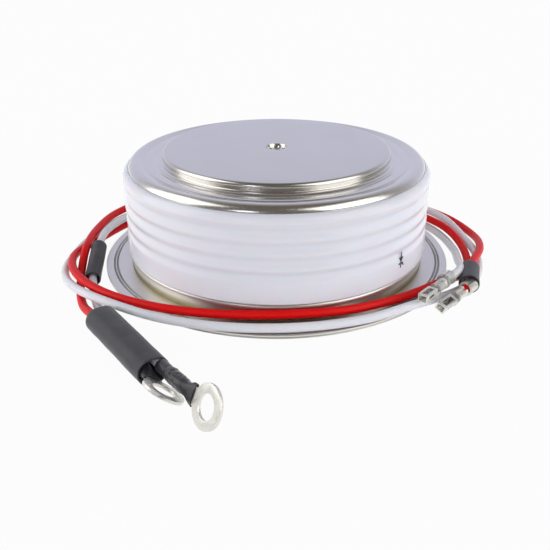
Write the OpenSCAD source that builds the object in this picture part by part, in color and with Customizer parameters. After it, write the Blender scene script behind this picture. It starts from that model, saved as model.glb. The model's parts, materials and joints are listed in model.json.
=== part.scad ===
// Press-pack thyristor with gate lead and auxiliary-cathode lead, in millimetres.
// The origin is the centre of the lower (anode) pole face, +Z points to the cathode pole face.

/* [Housing] */
// Height over both pole faces
overall_h = 26; // [25:0.5:34]
// Diameter of both pole pieces
pole_d = 47; // [40:0.5:56]
// Radius on the rim of the pole faces
pole_edge = 0.5; // [0.2:0.1:1]
// Radial gap between the pole pieces and the bore of the ceramic ring
pole_gap = 4.5; // [4.2:0.1:6]
// Height of the cathode pole face above the flange round it
flange_drop = 1.7; // [1:0.1:2.2]
// Thickness of the cathode flange and of the anode pole flange
sheet_t = 0.4; // [0.3:0.05:0.5]

/* [Ceramic ring] */
// Radial wall of the ceramic ring
ceramic_wall = 3.7; // [3.2:0.1:5]
// Height of the ring's lower end above the anode pole face
ceramic_z = 6.8; // [6.4:0.1:7.6]
// Depth of the ring's upper end below the cathode pole face
ceramic_drop = 2.8; // [2.6:0.1:3.2]
// Number of grooves round the ring
groove_n = 4; // [2:1:5]
// Height of the first groove above the ring's lower end
groove_start = 4.7; // [3.5:0.1:5.5]
// Spacing of the grooves
groove_pitch = 2.8; // [2.4:0.1:2.9]
// Width of one groove
groove_w = 1.3; // [0.8:0.1:1.6]
// Depth of one groove
groove_depth = 0.6; // [0.3:0.05:0.9]

/* [Anode flange] */
// Thickness of the anode flange
flange_t = 0.5; // [0.4:0.05:0.6]
// Height of the flat of the anode flange above the anode pole face
flange_z = 2.6; // [2.2:0.1:3]
// Reach of the flange beyond the ceramic ring
rim_reach = 5.05; // [4:0.05:8]
// Distance of the weld groove's middle from the rim
weld_inset = 2; // [1.5:0.1:3]
// Width of the weld groove
weld_w = 0.7; // [0.4:0.1:1]

/* [Locating holes] */
// Diameter of the locating hole in each pole face
locating_d = 3.6; // [2.5:0.1:5]
// Depth of the locating holes
locating_depth = 2.1; // [1.5:0.1:3]
// Chamfer at their mouths
locating_chamfer = 0.3; // [0.1:0.1:0.6]

/* [Semiconductor stack] */
// Height of the anode pole piece
anode_pole_h = 10; // [9:0.5:11]
// Thickness of the anode disc
anode_disc_t = 2.2; // [1.5:0.1:2.5]
// Thickness of the silicon wafer
wafer_t = 0.8; // [0.4:0.1:1]
// Reach of the wafer beyond the pole pieces
wafer_edge = 1.5; // [1:0.1:1.7]
// Radial width of the rubber coat on the wafer's edge
coat_w = 1.5; // [1:0.1:1.8]
// Thickness of the cathode disc
cathode_disc_t = 1; // [0.6:0.1:1.2]
// Diameter of the gate opening in the cathode disc
gate_opening_d = 6; // [4:0.5:7]

/* [Gate contact] */
// Diameter of the gate bore in the cathode pole piece
gate_bore_d = 8; // [7:0.5:10]
// Depth of the gate bore
gate_bore_depth = 7; // [6.5:0.1:8]
// Wall of the insulating cup in the gate bore
cup_wall = 1; // [0.6:0.1:1.2]
// Diameter of the contact's head on the wafer
contact_d = 3; // [2:0.1:3.5]
// Wire of the gate spring
spring_wire = 0.5; // [0.3:0.05:0.6]
// Turns of the gate spring
spring_turns = 3.5; // [2:0.5:4]
// Diameter of the two inner wires
inner_lead_d = 0.8; // [0.5:0.1:1]

/* [Terminals] */
// Height of the terminals above the top of the semiconductor stack
terminal_rise = 1.7; // [1.6:0.1:2.2]
// Diameter of the two terminal pins
pin_d = 1.47; // [1:0.01:2]
// Free length of the terminal pins
pin_free = 5.5; // [4:0.1:8]
// Angle between the gate pin and the cathode pin
pin_spread = 42; // [30:1:60]
// Outer diameter of the tubes brazed through the ceramic ring
tube_d = 3; // [2.6:0.1:3.4]
// Length of the tubes outside the ceramic ring
tube_out = 1.8; // [1:0.1:3]

/* [Leads] */
// Diameter of the two leads over their insulation
lead_d = 1.7; // [1.5:0.1:1.8]
// Width of the large sleeve round both leads
bundle_w = 5.9; // [5.8:0.1:6.4]
// Height of the large sleeve round both leads
bundle_h = 4.9; // [4.8:0.1:5]
// Length of the large sleeve
bundle_l = 21.4; // [18:0.1:22]
// Diameter of the small sleeve on the gate lead
lead_sleeve_d = 3; // [2.6:0.1:3.2]
// Diameter of the sleeve at the cathode lead's receptacle
receptacle_sleeve_d = 3.6; // [3.2:0.1:3.8]
// Wall of the sleeves
sleeve_wall = 0.25; // [0.15:0.05:0.35]

/* [Ring terminals] */
// Outer diameter of the ring
ring_d = 7.2; // [6.4:0.1:7.4]
// Diameter of the stud hole
ring_hole_d = 4.1; // [3.2:0.1:4.5]
// Thickness of the ring
ring_t = 0.8; // [0.6:0.05:1]
// Outer diameter of the crimp barrel
barrel_d = 2.2; // [2:0.1:2.3]
// Length of the crimp barrel
barrel_l = 4.7; // [4:0.1:5]
// Distance of the ring's centre from the barrel's rear end
ring_reach = 11; // [10.5:0.1:12]

/* [Pin receptacles] */
// Length of the whole receptacle
receptacle_l = 12.8; // [11.5:0.1:14]
// Width of the socket box
socket_w = 3; // [2.6:0.1:3.4]
// Height of the socket box
socket_h = 2; // [1.8:0.1:2.4]
// Sheet that the receptacle is folded from
receptacle_t = 0.3; // [0.2:0.05:0.35]

/* [Hidden] */
$fn = 96;
eps = 0.01;
small_fn = 32;

pole_r = pole_d / 2;
bore_r = pole_r + pole_gap;
ceramic_r = bore_r + ceramic_wall;
ceramic_top = overall_h - ceramic_drop;
ceramic_edge = 1;
rim_r = ceramic_r + rim_reach;

// Heights of the stack between the poles
wafer_z = anode_pole_h + anode_disc_t;
cathode_disc_z = wafer_z + wafer_t;
cathode_z = cathode_disc_z + cathode_disc_t;
wafer_r = pole_r + wafer_edge;
coat_r = wafer_r + coat_w;
cathode_disc_r = pole_r - 1.5;
fit = 0.1;

// The terminals leave the ring above the wafer, on the rib between two of its grooves
terminal_z = cathode_z + terminal_rise;
gate_angle = 90 + pin_spread / 2;
cathode_angle = 90 - pin_spread / 2;
tube_wall = 0.5;
tube_inside = 0.8;
tube_neck = 0.8;
tube_end_r = ceramic_r + tube_out;
pin_start_r = bore_r + 2.4;
shank_d = pin_d - 0.4;
slot_w = 2.5;
slot_top = terminal_z + slot_w / 2;
lead_seat = 3.5;

// Gate contact, spring and cup share the gate bore
bore_top = cathode_z + gate_bore_depth;
cup_r = gate_bore_d / 2 - fit;
cup_ceiling = bore_top - cup_wall;
collar_d = 2 * (cup_r - cup_wall) - 1;
collar_t = 0.6;
collar_z = slot_top - 0.3;
spring_r = collar_d / 2 - spring_wire;
spring_z = collar_z + collar_t;

// Weld groove and seam at the rim of the anode flange
weld_depth = 0.25;
seam_depth = 0.2;
weld_z = flange_z - flange_t;

// Crimp ends of the leads
strip_l = 3.2;
insulation_l = 2.2;
insulation_d = lead_d + 1;
crimp_l = 3;
crimp_d = 2;
neck_l = 1;
socket_x = strip_l + crimp_l + neck_l;
floor_z = -insulation_d / 2;
neck_w = 2.6;
neck_end = barrel_l + 2;
ring_sleeve_gap = 0.05;
ring_sleeve_end = ring_reach - ring_d / 2 - 0.1;
ring_sleeve_tail = 3.6;

// Routes of the two leads, chosen by hand, from the receptacle to the ring terminal
gate_route = [
    [32.0, -21.4, 5.4], [36.8, -15.0, 5.0], [39.0, -4.6, 2.4], [40.0, 5.0, 0.9], [37.6, 15.6, 0.9],
    [30.8, 25.2, 0.9], [20.8, 32.8, 0.9], [9.0, 38.0, 0.9], [-3.8, 41.0, 0.9], [-16.5, 40.2, 0.9],
    [-28.0, 34.4, 0.9], [-36.8, 25.4, 0.9], [-42.4, 14.0, 0.9], [-45.0, 2.0, 0.9], [-44.8, -8.0, 1.1],
    [-39.9, -18.6, 2.8], [-31.6, -26.6, 3.8], [-21.0, -32.4, 3.7], [-9.0, -35.4, 3.6], [3.5, -35.6, 3.6],
    [15.5, -32.8, 3.6], [26.4, -26.8, 3.6], [34.8, -19.2, 1.9], [41.4, -11.0, 0.9], [44.4, -1.0, 0.9],
    [43.6, 9.0, 1.5], [40.4, 19.0, 2.7], [33.6, 28.4, 2.7], [23.8, 36.0, 2.7], [12.0, 40.0, 2.7],
    [-1.0, 39.6, 2.7], [-13.5, 36.8, 2.7], [-25.0, 30.9, 2.7], [-34.2, 22.6, 2.7], [-39.2, 11.6, 3.0],
    [-39.2, 1.4, 3.6], [-37.9, -12.5, 1.6], [-34.2, -24.2, 1.2], [-31.4, -29.7, 2.7], [-16.7, -50.1, 3.4]
];
cathode_route = [
    [36.5, -21.0, 3.5], [38.8, -17.8, 3.8], [40.9, -9.4, 3.8], [45.0, 0.6, 2.8], [46.4, 11.6, 1.1],
    [41.8, 24.6, 0.9], [31.6, 35.0, 0.9], [19.2, 40.8, 1.2], [6.0, 43.0, 2.7], [-7.0, 41.4, 2.8],
    [-18.5, 36.9, 2.0], [-28.8, 29.4, 0.9], [-36.6, 19.2, 0.9], [-41.2, 8.4, 1.4], [-43.8, -3.0, 2.7],
    [-41.0, -13.4, 3.6], [-33.6, -22.4, 3.9], [-23.4, -28.2, 3.9], [-11.5, -30.4, 3.6], [1.0, -30.6, 3.6],
    [13.0, -28.9, 3.6], [24.0, -24.2, 3.6], [33.5, -16.9, 3.5], [40.6, -7.0, 0.9], [42.0, 3.8, 1.6],
    [39.8, 12.4, 2.7], [34.2, 21.4, 2.8], [26.0, 30.8, 2.4], [15.6, 38.6, 0.9], [3.0, 42.9, 0.9],
    [-10.0, 43.9, 0.9], [-22.5, 40.5, 0.9], [-33.0, 32.8, 2.1], [-39.4, 22.4, 2.7], [-41.6, 10.6, 3.4],
    [-41.5, -1.6, 3.8], [-40.8, -10.6, 1.2], [-37.8, -22.0, 0.9], [-33.1, -30.5, 2.6], [-23.8, -44.2, 2.5]
];
gate_last = len(gate_route) - 1;
cathode_last = len(cathode_route) - 1;
small_sleeve_leg = 35;
bundle_start = [-32.3, -30.4, 2.5];
bundle_dir = [0.578, -0.816, 0];
gate_ring_roll = 65.5;
cathode_ring_roll = -33.8;
gate_receptacle_roll = 0;
cathode_receptacle_roll = -25;

// Geometry helpers

function unit(v) = v / norm(v);

// Arc that replaces the corner b of the line a-b-c, with radius r or as much as the legs allow
function corner(a, b, c, r, n) =
    let (
        u = unit(a - b), v = unit(c - b), open = acos(min(1, max(-1, u * v))),
        t = min(r / tan(open / 2), 0.49 * min(norm(a - b), norm(c - b))),
        mid = b + unit(u + v) * t / cos(open / 2), turn = 180 - open,
        p = b + u * t - mid, q = b + v * t - mid
    )
    [for (i = [0:n]) mid + (p * sin(turn * (1 - i / n)) + q * sin(turn * i / n)) / sin(turn)];

// Open line with each of its inner corners rounded
function rounded(path, r, n = 5) = [
    path[0],
    for (i = [1:len(path) - 2]) each corner(path[i - 1], path[i], path[i + 1], r, n),
    path[len(path) - 1]
];

function along(path, i) =
    let (a = path[max(0, i - 1)], b = path[i], c = path[min(len(path) - 1, i + 1)])
    unit((a == b ? [0, 0] : unit(b - a)) + (b == c ? [0, 0] : unit(c - b)));

// Outline of a bent sheet of thickness t whose middle follows the path
function sheet(path, t) =
    let (side = [for (i = [0:len(path) - 1]) let (d = along(path, i)) [-d.y, d.x] * t / 2])
    concat(
        [for (i = [0:len(path) - 1]) path[i] + side[i]],
        [for (i = [len(path) - 1:-1:0]) path[i] - side[i]]
    );

function heading(path, i) =
    unit(path[min(len(path) - 1, i + 1)] - path[max(0, i - 1)]);

// Tube swept along a route, one ring of corners at each of its points
module tube(route, d, sides = 8) {
    rings = len(route);
    points = [
        for (i = [0:rings - 1])
            let (t = heading(route, i), s = unit(cross(t, [0, 0, 1])), u = cross(s, t))
            for (k = [0:sides - 1])
                route[i] + (s * cos(360 * (k + 0.5) / sides) + u * sin(360 * (k + 0.5) / sides)) * d / 2
    ];
    walls = [
        for (i = [0:rings - 2], k = [0:sides - 1])
            let (a = i * sides + k, b = i * sides + (k + 1) % sides)
            [a, b, b + sides, a + sides]
    ];
    caps = [
        [for (k = [sides - 1:-1:0]) k],
        [for (k = [0:sides - 1]) (rings - 1) * sides + k]
    ];
    polyhedron(points, concat(walls, caps), convexity = 10);
}

// Puts the local X axis on the line from one point towards another, starting at the second
module at_end(from, to, roll = 0) {
    v = to - from;
    translate(to)
        rotate([0, -asin(v.z / norm(v)), atan2(v.y, v.x)])
            rotate([roll, 0, 0])
                children();
}

module rod(d, x0, x1) {
    translate([x0, 0, 0]) rotate([0, 90, 0]) cylinder(d = d, h = x1 - x0);
}

module pipe(d, bore, x0, x1) {
    difference() {
        rod(d, x0, x1);
        rod(bore, x0 - eps, x1 + eps);
    }
}

module bar(x0, x1, w, z0, z1) {
    translate([x0, -w / 2, z0]) cube([x1 - x0, w, z1 - z0]);
}

// Groove turned into a flat face, narrower at its floor
module face_groove(r, z, w, depth) {
    rotate_extrude()
        polygon([[r - w / 2, z + eps], [r - w / 4, z - depth], [r + w / 4, z - depth], [r + w / 2, z + eps]]);
}

// Pole pieces and flanges

module pole_blank(z0, z1) {
    rotate_extrude()
        polygon(concat([[0, z0]], rounded(
            [[0.5, z0], [pole_r, z0], [pole_r, z1], [0.5, z1]], pole_edge), [[0, z1]]));
}

// Locating hole with its mouth at the height given, opening up or down
module locating_hole(z, up) {
    translate([0, 0, z]) mirror([0, 0, up ? 0 : 1]) {
        translate([0, 0, -locating_depth])
            cylinder(d = locating_d, h = locating_depth + eps);
        translate([0, 0, -locating_chamfer])
            cylinder(d1 = locating_d, d2 = locating_d + 2 * locating_chamfer + eps,
                h = locating_chamfer + eps);
    }
}

module cathode_pole() {
    color("silver") difference() {
        pole_blank(cathode_z, overall_h);
        locating_hole(overall_h, true);
        translate([0, 0, cathode_z - eps]) cylinder(d = gate_bore_d, h = gate_bore_depth + eps);
        rotate([0, 0, gate_angle]) bar(0, pole_r + 1, slot_w, cathode_z - eps, slot_top);
        rotate([0, 0, cathode_angle]) translate([0, 0, terminal_z])
            rod(inner_lead_d, pole_r - lead_seat, pole_r + 1);
    }
}

module anode_pole() {
    color("silver") difference() {
        pole_blank(0, anode_pole_h);
        locating_hole(0, false);
    }
}

// Thin flange brazed to the cathode pole, with a rolled lip that stands on the ceramic ring
module upper_flange() {
    z = overall_h - flange_drop - sheet_t / 2;
    foot_r = ceramic_r - 1.35;
    bend = 0.35;
    color("gainsboro") rotate_extrude()
        polygon(sheet(rounded([
            [pole_r, z + 0.1], [pole_r + 0.9, z + 0.1], [pole_r + 1.4, z - 0.25], [pole_r + 2.2, z - 0.1],
            [foot_r - 3.4, z - 0.1], [foot_r - 2.9, z - 0.45], [foot_r - 2.4, z + 0.05],
            [foot_r - 1.2, z + 0.05], [foot_r, z - 0.5], [foot_r, ceramic_top]
        ], bend), sheet_t));
}

// Formed anode flange: seat under the ceramic ring, collar, throat and wide flat rim
module lower_flange() {
    collar_r = ceramic_r - 0.95;
    throat_r = bore_r + 0.8;
    top = ceramic_z - flange_t / 2;
    flat = flange_z - flange_t / 2;
    color("gainsboro") difference() {
        rotate_extrude()
            polygon(sheet(rounded([
                [bore_r + 0.2, top], [collar_r, top], [collar_r, top - 1.3],
                [throat_r, top - 1.6], [throat_r, flat], [rim_r, flat]
            ], 0.6), flange_t));
        face_groove(rim_r - weld_inset, flange_z, weld_w, weld_depth);
        rim_seam(flange_z - flange_t);
    }
}

// Second sheet, brazed to the anode pole and welded under the rim of the anode flange
module pole_flange() {
    z = weld_z - sheet_t / 2;
    hump = z + 1.2;
    color("silver") difference() {
        rotate_extrude()
            polygon(sheet(rounded([
                [pole_r, z], [pole_r + 1.4, z], [pole_r + 2, hump], [bore_r - 0.9, hump],
                [bore_r - 0.2, z], [rim_r, z]
            ], 0.45), sheet_t));
        mirror([0, 0, 1])
            face_groove(rim_r - weld_inset, sheet_t - weld_z, weld_w, weld_depth / 2);
        rim_seam(weld_z);
    }
}

// V-shaped seam where the two welded sheets meet at the rim
module rim_seam(z) {
    rotate_extrude()
        polygon([[rim_r - seam_depth, z], [rim_r + eps, z - seam_depth], [rim_r + eps, z + seam_depth]]);
}

function groove_outline(z) = [
    [ceramic_r, z - groove_w / 2], [ceramic_r - groove_depth, z - groove_w / 6],
    [ceramic_r - groove_depth, z + groove_w / 6], [ceramic_r, z + groove_w / 2]
];

module ceramic_ring() {
    foot = 0.5;
    outside = rounded(concat(
        [[bore_r + 0.5, ceramic_z], [ceramic_r - foot, ceramic_z], [ceramic_r, ceramic_z + foot]],
        [for (i = [0:groove_n - 1]) each groove_outline(ceramic_z + groove_start + i * groove_pitch)],
        [[ceramic_r, ceramic_top - ceramic_edge], [ceramic_r - 0.3, ceramic_top - 0.3],
         [ceramic_r - ceramic_edge, ceramic_top], [bore_r + 0.5, ceramic_top]]
    ), 0.45, 4);
    color("white") difference() {
        rotate_extrude()
            polygon(concat([[bore_r, ceramic_z]], outside, [[bore_r, ceramic_top]]));
        for (a = [gate_angle, cathode_angle])
            rotate([0, 0, a]) translate([0, 0, terminal_z]) rod(tube_d, bore_r - 1, ceramic_r + 1);
    }
}

// Semiconductor stack

module disc(r, z, t) {
    translate([0, 0, z]) cylinder(r = r, h = t);
}

module anode_disc() {
    color("dimgray") disc(wafer_r, anode_pole_h, anode_disc_t);
}

module silicon_wafer() {
    color("slategray") disc(wafer_r, wafer_z, wafer_t);
}

module cathode_disc() {
    color("dimgray") difference() {
        disc(cathode_disc_r, cathode_disc_z, cathode_disc_t);
        disc(gate_opening_d / 2, cathode_disc_z - eps, cathode_disc_t + 2 * eps);
    }
}

module wafer_edge_coat() {
    low = wafer_z - 0.4;
    high = wafer_z + wafer_t + 0.4;
    color("white") rotate_extrude()
        polygon([[wafer_r, low], [coat_r - 0.4, low], [coat_r, wafer_z], [coat_r, wafer_z + wafer_t],
            [coat_r - 0.4, high], [wafer_r, high]]);
}

module centering_ring() {
    low = anode_pole_h + 0.2;
    high = cathode_disc_z + 0.8;
    step = wafer_z - 0.6;
    color("ivory") rotate_extrude()
        polygon([[wafer_r + fit, low], [bore_r - fit, low], [bore_r - fit, high],
            [coat_r + fit, high], [coat_r + fit, step], [wafer_r + fit, step]]);
}

// Gate contact

module gate_contact() {
    stem_d = contact_d - 0.6;
    color("gold") union() {
        translate([0, 0, cathode_disc_z]) cylinder(d = contact_d, h = 0.8, $fn = small_fn);
        translate([0, 0, cathode_disc_z]) cylinder(d = stem_d, h = collar_z - cathode_disc_z, $fn = small_fn);
        translate([0, 0, collar_z]) cylinder(d = collar_d, h = collar_t, $fn = small_fn);
    }
}

module gate_spring() {
    steps = 12;
    rise = cup_ceiling - spring_z - spring_wire;
    color("silver") tube([
        for (i = [0:steps * spring_turns]) let (a = 360 * i / steps)
            [spring_r * cos(a), spring_r * sin(a),
             spring_z + spring_wire / 2 + rise * i / (steps * spring_turns)]
    ], spring_wire, 6);
}

module gate_insulator() {
    color("ivory") difference() {
        translate([0, 0, cathode_z]) cylinder(r = cup_r, h = gate_bore_depth);
        translate([0, 0, cathode_z - eps]) cylinder(r = cup_r - cup_wall, h = cup_ceiling - cathode_z + eps);
        rotate([0, 0, gate_angle]) bar(0, gate_bore_d, slot_w, cathode_z - eps, slot_top);
    }
}

module inner_gate_lead() {
    stem_r = (contact_d - 0.6) / 2;
    color("silver") rotate([0, 0, gate_angle]) translate([0, 0, terminal_z]) difference() {
        rod(inner_lead_d, 0, pin_start_r);
        translate([0, 0, -slot_w]) cylinder(r = stem_r, h = 2 * slot_w, $fn = small_fn);
    }
}

module inner_lead_sleeve() {
    color("white") rotate([0, 0, gate_angle]) translate([0, 0, terminal_z])
        pipe(inner_lead_d + 1, inner_lead_d + fit, cup_r - cup_wall + 0.4, pole_r + 2);
}

module inner_cathode_lead() {
    color("silver") rotate([0, 0, cathode_angle]) translate([0, 0, terminal_z])
        rod(inner_lead_d, pole_r - lead_seat, pin_start_r);
}

// Terminals through the ceramic ring

module terminal_tube() {
    translate([0, 0, terminal_z]) difference() {
        rod(tube_d, bore_r - tube_inside, tube_end_r);
        rod(tube_d - 2 * tube_wall, bore_r - tube_inside - eps, tube_end_r - tube_neck);
        rod(shank_d, tube_end_r - tube_neck - eps, tube_end_r + eps);
    }
}

// The thin shank passes through the tube, whose end carries the pin's shoulder
module terminal_pin() {
    tip = 0.4;
    end = tube_end_r + pin_free;
    translate([0, 0, terminal_z]) union() {
        rod(shank_d, pin_start_r, tube_end_r + eps);
        rod(pin_d, tube_end_r, end - tip);
        translate([end - tip, 0, 0]) rotate([0, 90, 0]) cylinder(d1 = pin_d, d2 = pin_d - tip, h = tip);
    }
}

module gate_tube() {
    color("silver") rotate([0, 0, gate_angle]) terminal_tube();
}

module cathode_tube() {
    color("silver") rotate([0, 0, cathode_angle]) terminal_tube();
}

module gate_pin() {
    color("gold") rotate([0, 0, gate_angle]) terminal_pin();
}

module cathode_pin() {
    color("gold") rotate([0, 0, cathode_angle]) terminal_pin();
}

// Leads and what is on them

module gate_lead() {
    color("white") tube(gate_route, lead_d);
}

module cathode_lead() {
    color("red") tube(cathode_route, lead_d);
}

// Pin receptacle folded from sheet: X runs from the lead to the mouth, the lead ends at the origin
module receptacle() {
    top = floor_z + socket_h;
    mouth = receptacle_l - strip_l;
    box_start = socket_x - strip_l;
    leaf_gap = pin_d - 0.1;
    color("gainsboro") union() {
        difference() {
            pipe(insulation_d, lead_d + fit, -strip_l, insulation_l - strip_l);
            bar(-strip_l - eps, insulation_l - strip_l + eps, 0.5, 0, insulation_d);
        }
        bar(-strip_l, mouth, 1.2, floor_z, floor_z + receptacle_t);
        difference() {
            translate([0, 0, floor_z + crimp_d / 2]) rod(crimp_d, 0, crimp_l);
            translate([0, 0, floor_z + crimp_d]) rotate([45, 0, 0])
                translate([-eps, -0.3, -0.3]) cube([crimp_l + 2 * eps, 0.6, 0.6]);
        }
        for (side = [-1, 1]) translate([0, side * (crimp_d / 2 - receptacle_t), 0])
            bar(crimp_l, box_start, receptacle_t, floor_z, floor_z + socket_h / 2);
        difference() {
            bar(box_start, mouth, socket_w, floor_z, top);
            bar(box_start + receptacle_t, mouth + eps, socket_w - 2 * receptacle_t,
                floor_z + receptacle_t, top - receptacle_t);
            bar(box_start + 1.2, mouth + eps, 0.5, floor_z + socket_h / 2, top + eps);
            bar(box_start + 1.4, box_start + 3.6, socket_w + 1, floor_z + 0.6, top - 0.5);
        }
        for (side = [-1, 1]) translate([0, side * (leaf_gap / 2 + receptacle_t / 2), 0])
            bar(box_start + receptacle_t, mouth - 0.6, receptacle_t, floor_z, top - receptacle_t - 0.15);
    }
}

module gate_receptacle() {
    at_end(gate_route[1], gate_route[0], gate_receptacle_roll) receptacle();
}

module cathode_receptacle() {
    at_end(cathode_route[1], cathode_route[0], cathode_receptacle_roll) receptacle();
}

module receptacle_sleeve() {
    leg = norm(cathode_route[2] - cathode_route[1]);
    color("dimgray") at_end(cathode_route[2], cathode_route[1])
        pipe(receptacle_sleeve_d, receptacle_sleeve_d - 4 * sleeve_wall, -leg, 0, $fn = small_fn);
}

module lead_sleeve() {
    leg = norm(gate_route[small_sleeve_leg + 1] - gate_route[small_sleeve_leg]);
    color("dimgray") at_end(gate_route[small_sleeve_leg], gate_route[small_sleeve_leg + 1])
        pipe(lead_sleeve_d, lead_sleeve_d - 2 * sleeve_wall, -leg, 0, $fn = small_fn);
}

// Flat-sided round section of the large sleeve, lying across the Y axis
module stadium(w, h) {
    hull() for (side = [-1, 1])
        translate([0, side * (w - h) / 2]) circle(d = h, $fn = small_fn);
}

module bundle_sleeve() {
    color("dimgray") at_end(bundle_start - bundle_dir, bundle_start)
        rotate([0, 90, 0]) linear_extrude(bundle_l) difference() {
            stadium(bundle_w, bundle_h);
            stadium(bundle_w - 2 * sleeve_wall, bundle_h - 2 * sleeve_wall);
        }
}

// Neck between barrel and ring, grown by the margin given
module ring_neck(margin, x0, x1) {
    hull() {
        translate([x0, 0, 0]) rotate([0, 90, 0]) cylinder(d = barrel_d + 2 * margin, h = 0.1, $fn = small_fn);
        translate([x1 - 0.1, -neck_w / 2 - margin, -ring_t / 2 - margin])
            cube([0.1, neck_w + 2 * margin, ring_t + 2 * margin]);
    }
}

// Ring terminal: X runs from the barrel's rear end, where the lead ends, to the ring
module ring_terminal() {
    color("gainsboro") difference() {
        union() {
            rod(barrel_d, 0, barrel_l);
            ring_neck(0, barrel_l, neck_end);
            bar(neck_end, ring_reach - ring_d / 4, neck_w, -ring_t / 2, ring_t / 2);
            translate([ring_reach, 0, -ring_t / 2]) cylinder(d = ring_d, h = ring_t);
        }
        translate([ring_reach, 0, -ring_t]) cylinder(d = ring_hole_d, h = 2 * ring_t);
        translate([barrel_l / 2, 0, barrel_d / 2]) rotate([90, 0, 0])
            cylinder(d = 0.8, h = barrel_d, center = true, $fn = small_fn);
    }
}

// Shrunk sleeve over barrel and neck of a ring terminal, and over the end of its lead
module ring_sleeve() {
    gap = ring_sleeve_gap;
    skin = gap + sleeve_wall;
    lap = 0.2;
    color("dimgray") difference() {
        union() {
            rod(lead_d + 2 * skin, -ring_sleeve_tail, 0);
            rod(barrel_d + 2 * skin, -sleeve_wall, barrel_l);
            ring_neck(skin + eps, barrel_l - lap, ring_sleeve_end);
        }
        rod(lead_d + 2 * gap, -ring_sleeve_tail - eps, eps);
        rod(barrel_d + 2 * gap, 0, barrel_l + lap);
        ring_neck(gap - eps, barrel_l, neck_end);
        bar(neck_end - lap, ring_reach, neck_w + 2 * gap, -ring_t / 2 - gap, ring_t / 2 + gap);
    }
}

module gate_ring_terminal() {
    at_end(gate_route[gate_last - 1], gate_route[gate_last], gate_ring_roll) ring_terminal();
}

module cathode_ring_terminal() {
    at_end(cathode_route[cathode_last - 1], cathode_route[cathode_last], cathode_ring_roll) ring_terminal();
}

module gate_ring_sleeve() {
    at_end(gate_route[gate_last - 1], gate_route[gate_last], gate_ring_roll) ring_sleeve();
}

module cathode_ring_sleeve() {
    at_end(cathode_route[cathode_last - 1], cathode_route[cathode_last], cathode_ring_roll) ring_sleeve();
}

cathode_pole();
upper_flange();
ceramic_ring();
lower_flange();
pole_flange();
anode_pole();
silicon_wafer();
wafer_edge_coat();
anode_disc();
cathode_disc();
centering_ring();
gate_contact();
gate_spring();
gate_insulator();
inner_gate_lead();
inner_lead_sleeve();
inner_cathode_lead();
gate_tube();
gate_pin();
cathode_tube();
cathode_pin();
gate_lead();
cathode_lead();
gate_receptacle();
cathode_receptacle();
receptacle_sleeve();
lead_sleeve();
bundle_sleeve();
gate_ring_terminal();
cathode_ring_terminal();
gate_ring_sleeve();
cathode_ring_sleeve();
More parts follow.
